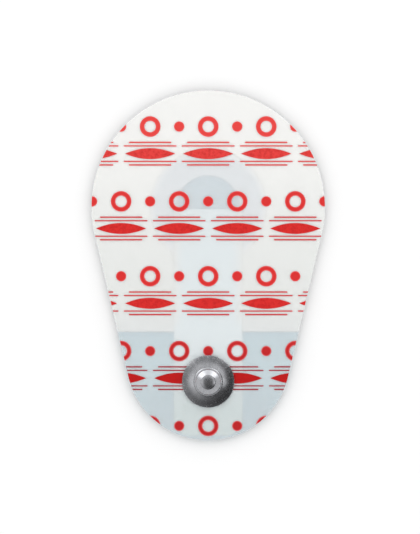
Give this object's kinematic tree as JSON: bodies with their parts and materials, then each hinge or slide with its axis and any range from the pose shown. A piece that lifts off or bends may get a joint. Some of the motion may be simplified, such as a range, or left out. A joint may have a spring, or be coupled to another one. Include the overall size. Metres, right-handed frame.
{
  "type": "ecg electrode",
  "caption": "Pear-shaped disposable ECG electrode: printed film over adhesive foam, gel disc under the broad end and an offset snap stud riveted through the narrow end.",
  "frame": {"origin": "on the release liner's underside, which the electrode rests on, straight below the middle of the gel and of the broad end's curve", "axes": "+Y from the snap towards the broad end, +Z out of the printed face towards the stud's crown, +X to the right when the printed face is looked at with the broad end up"},
  "size_m": [0.0362, 0.0542, 0.0051],
  "materials": {
    "printed_film": "thin translucent film with red print, satin",
    "milky_film": "thin milky film, satin",
    "silver_chloride": "silver and silver chloride coating, dull",
    "white_foam": "closed-cell foam, matt",
    "blue_foam": "closed-cell foam, matt",
    "gel": "wet jelly, glossy",
    "bright_steel": "pressed sheet, satin",
    "dull_steel": "pressed sheet, dull",
    "white_patch": "tape, matt",
    "clear_sheet": "clear polyester sheet, glossy"
  },
  "bodies": {
    "root": {"carrier_film": "printed_film", "cover_strip": "milky_film", "conductor_strip": "silver_chloride", "skirt_foam": "white_foam", "tab_foam": "blue_foam", "gel_disc": "gel", "snap_stud": "bright_steel", "eyelet": "dull_steel", "eyelet_patch": "white_patch", "release_liner": "clear_sheet"}
  },
  "joints": []
}
